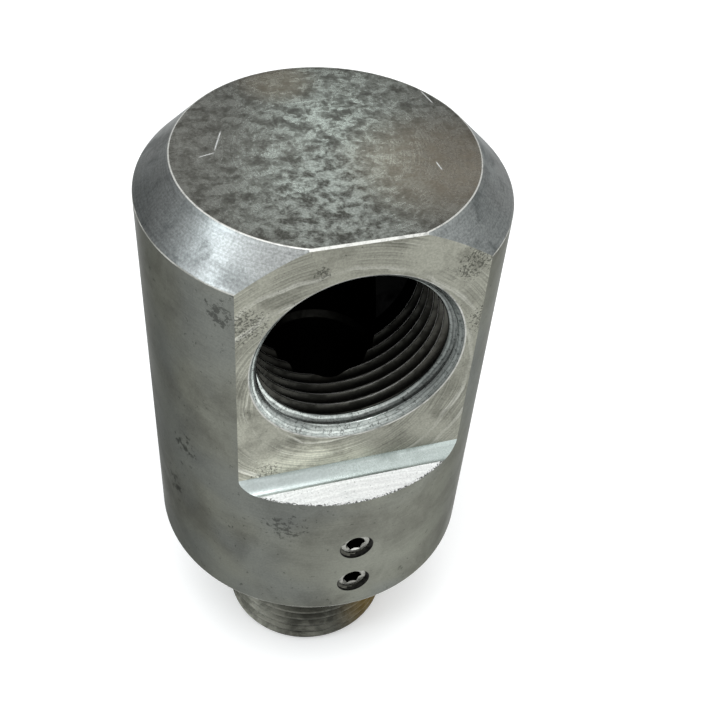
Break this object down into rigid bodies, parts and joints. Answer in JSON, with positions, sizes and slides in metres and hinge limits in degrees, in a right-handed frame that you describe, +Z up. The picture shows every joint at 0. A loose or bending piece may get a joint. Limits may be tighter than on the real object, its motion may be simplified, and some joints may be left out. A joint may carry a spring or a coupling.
{
  "type": "hydraulic rotary union",
  "caption": "Steel ball-race swivel joint that carries hydraulic oil from a threaded side port to a rotating male-threaded stub.",
  "frame": {"origin": "on the rotation axis, at the end face of the rotor's male thread, where the union stands", "axes": "+Z up the rotation axis from the male thread to the housing's closed end; -Y out of the side port; +X to the right when looking into the port"},
  "size_m": [0.058, 0.058, 0.113],
  "materials": {
    "housing_steel": "machined steel, thin clear zinc, slightly stained",
    "rotor_steel": "turned steel, satin, oily",
    "ball_steel": "polished bearing steel",
    "plug_steel": "dark oxide socket screw steel",
    "washer_bronze": "turned bronze",
    "guide_ptfe": "bronze-filled PTFE",
    "seal_ptfe": "carbon-filled PTFE",
    "o_ring_rubber": "black nitrile rubber",
    "scraper_plastic": "polyurethane"
  },
  "bodies": {
    "housing": {"housing": "housing_steel", "upper_ball_plug": "plug_steel", "lower_ball_plug": "plug_steel", "thrust_washer": "washer_bronze", "guide_ring": "guide_ptfe", "main_seal_ring": "seal_ptfe", "main_seal_o_ring": "o_ring_rubber", "second_seal_ring": "seal_ptfe", "second_seal_o_ring": "o_ring_rubber", "dust_scraper": "scraper_plastic", "scraper_o_ring": "o_ring_rubber"},
    "rotor": {"rotor": "rotor_steel"},
    "upper_balls": {"upper_ball_row": "ball_steel"},
    "lower_balls": {"lower_ball_row": "ball_steel"}
  },
  "joints": [
    {"name": "rotor_spin", "type": "hinge", "parent": "housing", "child": "rotor", "pos_m": [0, 0, 0.033], "axis": [0, 0, 1], "continuous": true},
    {"name": "upper_balls_orbit", "type": "hinge", "parent": "housing", "child": "upper_balls", "pos_m": [0, 0, 0.051], "axis": [0, 0, 1], "continuous": true},
    {"name": "lower_balls_orbit", "type": "hinge", "parent": "housing", "child": "lower_balls", "pos_m": [0, 0, 0.04075], "axis": [0, 0, 1], "continuous": true}
  ],
  "couplings": [
    {"joint": "upper_balls_orbit", "follows": "rotor_spin", "ratio": 0.43385},
    {"joint": "lower_balls_orbit", "follows": "rotor_spin", "ratio": 0.43385}
  ]
}
